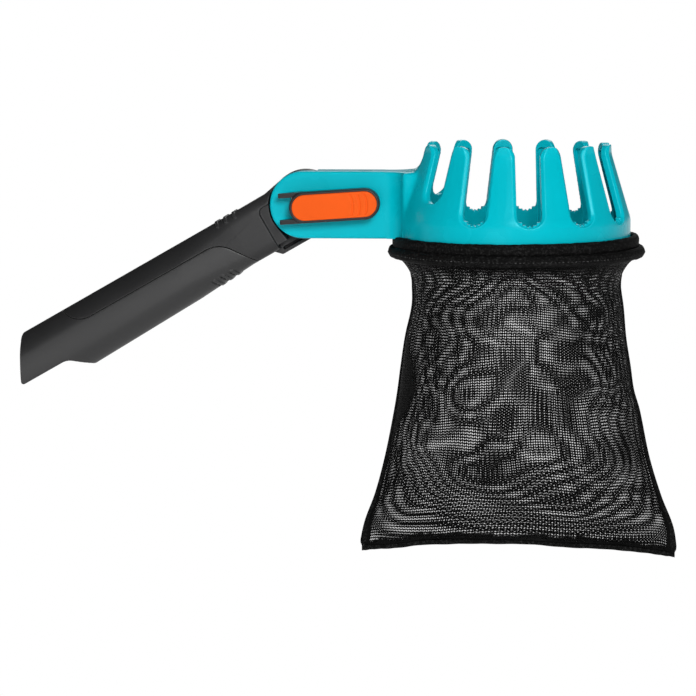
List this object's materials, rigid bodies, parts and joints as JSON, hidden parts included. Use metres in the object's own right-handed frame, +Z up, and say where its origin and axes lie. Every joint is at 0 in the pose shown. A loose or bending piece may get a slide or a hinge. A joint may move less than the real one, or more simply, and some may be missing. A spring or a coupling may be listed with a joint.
{
  "type": "fruit collector",
  "caption": "Fruit picker head for a pole: a ring of leaning fingers over a net bag, on an arm that tilts on a hollow handle and is held by a clamp lever.",
  "frame": {"origin": "the mouth of the pole socket, on the socket's axis", "axes": "+Z up along the axis of the finger ring, +X along the arm towards the ring, the clamp lever on the -Y side"},
  "size_m": [0.3998, 0.1538, 0.2525],
  "materials": {
    "teal_plastic": "moulded, satin gloss",
    "charcoal_plastic": "moulded, fine matt grain",
    "black_plastic": "moulded, matt",
    "orange_plastic": "moulded, soft matt",
    "acetal": "moulded, smooth",
    "zinc_steel": "turned or pressed, bright zinc",
    "rubber_disc": "moulded, matt",
    "net_cloth": "knitted net with a fine mesh",
    "seam_tape": "folded and sewn edge",
    "elastic_cord": "covered elastic"
  },
  "bodies": {
    "handle": {"joint_moulding": "charcoal_plastic", "grip_moulding": "charcoal_plastic", "pole_sleeve": "black_plastic", "pivot_bush": "acetal", "friction_ring": "rubber_disc", "rear_cap": "black_plastic"},
    "head": {"crown_and_arm": "teal_plastic", "clamp_bolt": "zinc_steel", "cam_saddle": "acetal", "thrust_washer": "zinc_steel", "disc_springs": "zinc_steel", "lock_nut": "zinc_steel", "lever_pin": "zinc_steel", "bag_front_panel": "net_cloth", "bag_back_panel": "net_cloth", "bag_side_seam_inner": "seam_tape", "bag_side_seam_outer": "seam_tape", "bag_foot_seam": "seam_tape", "bag_hem": "net_cloth", "hem_cord": "elastic_cord"},
    "lever": {"lever_frame": "black_plastic", "lever_inlay": "orange_plastic"}
  },
  "joints": [
    {"name": "head_tilt", "type": "hinge", "parent": "handle", "child": "head", "pos_m": [0.14035, 0, 0.08292], "axis": [0, 1, 0], "range_deg": [-30, 50]},
    {"name": "clamp_lever", "type": "hinge", "parent": "head", "child": "lever", "pos_m": [0.13815, -0.0195, 0.08182], "axis": [0.068, 0, -0.9977], "range_deg": [0, 40]}
  ]
}
